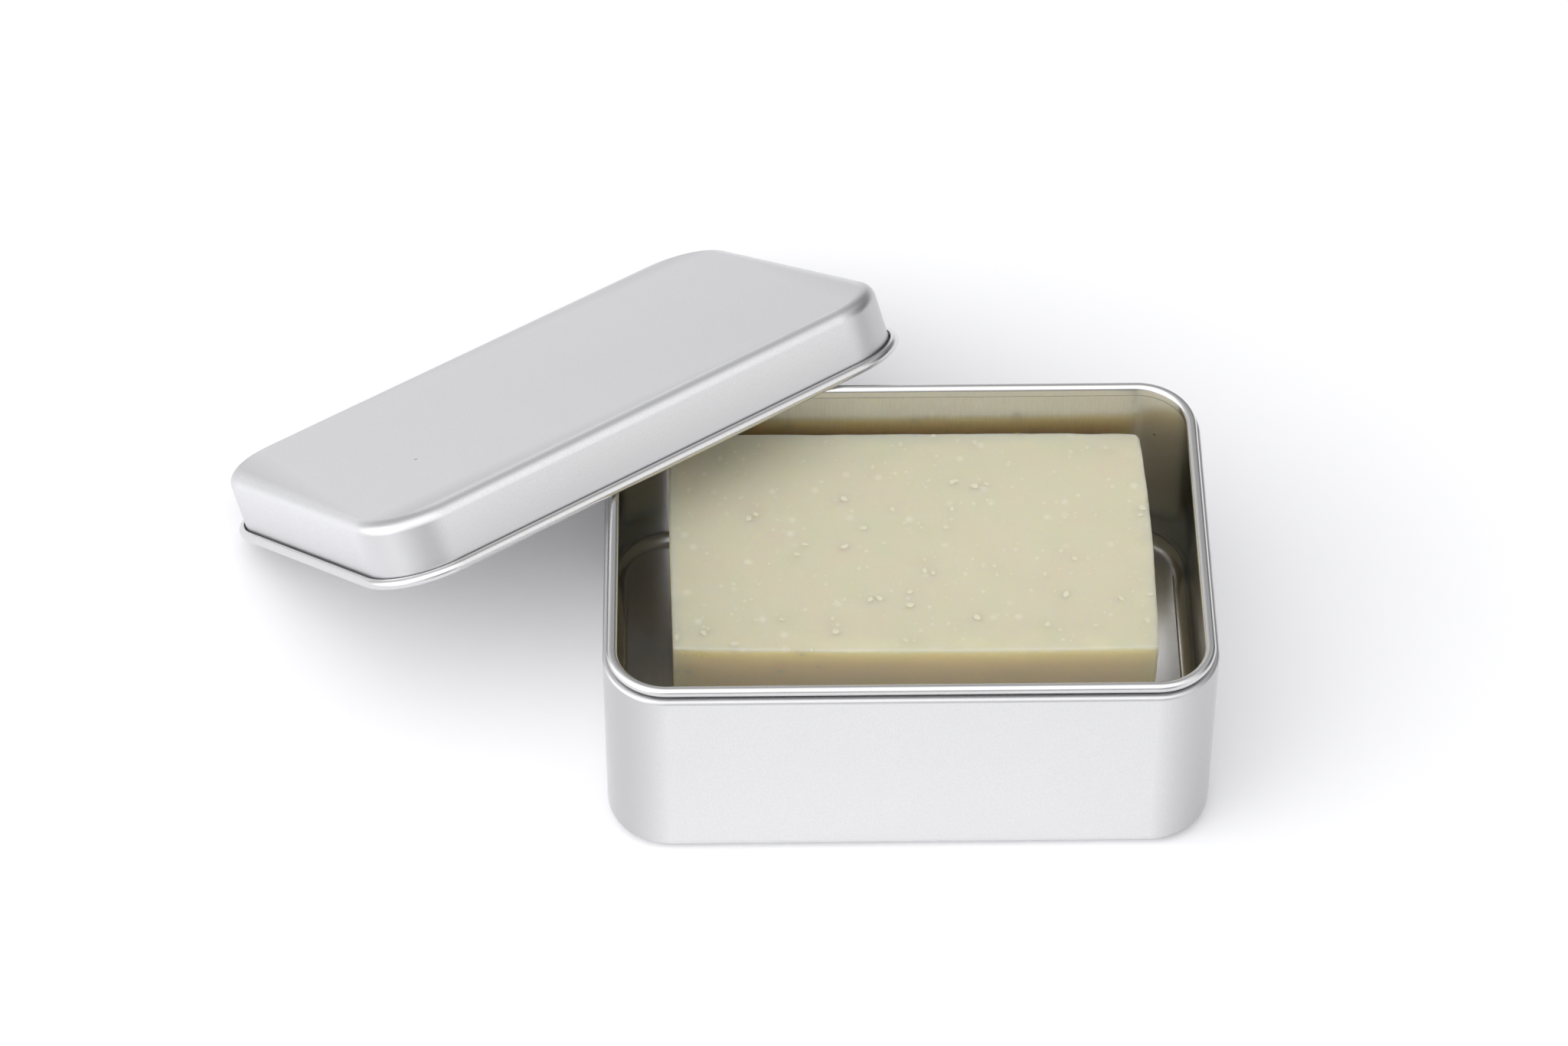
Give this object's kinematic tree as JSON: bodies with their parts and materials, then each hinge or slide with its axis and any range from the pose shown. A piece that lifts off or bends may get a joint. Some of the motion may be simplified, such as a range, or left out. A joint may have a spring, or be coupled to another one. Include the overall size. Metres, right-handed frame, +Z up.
{
  "type": "soap tin",
  "caption": "Rectangular metal soap tin with rounded corners, a rolled rim and a slip lid put down leaning off one corner, holding a loose cut bar of soap.",
  "frame": {"origin": "centre of the tin body's flat underside", "axes": "+X along the body's long side to the right, +Y towards its back, +Z up"},
  "size_m": [0.174, 0.1365, 0.0504],
  "materials": {
    "body_tinplate": "satin, very fine drawn grain outside, brighter inside",
    "lid_tinplate": "satin, very fine drawn grain",
    "soap": "waxy matt, pale specks and pinholes"
  },
  "bodies": {
    "tin": {"tin_body": "body_tinplate"},
    "lid": {"tin_lid": "lid_tinplate"},
    "soap": {"soap_bar": "soap"}
  },
  "joints": [
    {"name": "lid_lift", "type": "slide", "parent": "tin", "child": "lid", "axis": [0, 0, 1], "range_m": [0, 0.06]},
    {"name": "soap_slide", "type": "slide", "parent": "tin", "child": "soap", "axis": [0, -1, 0], "range_m": [0, 0.0165]}
  ]
}
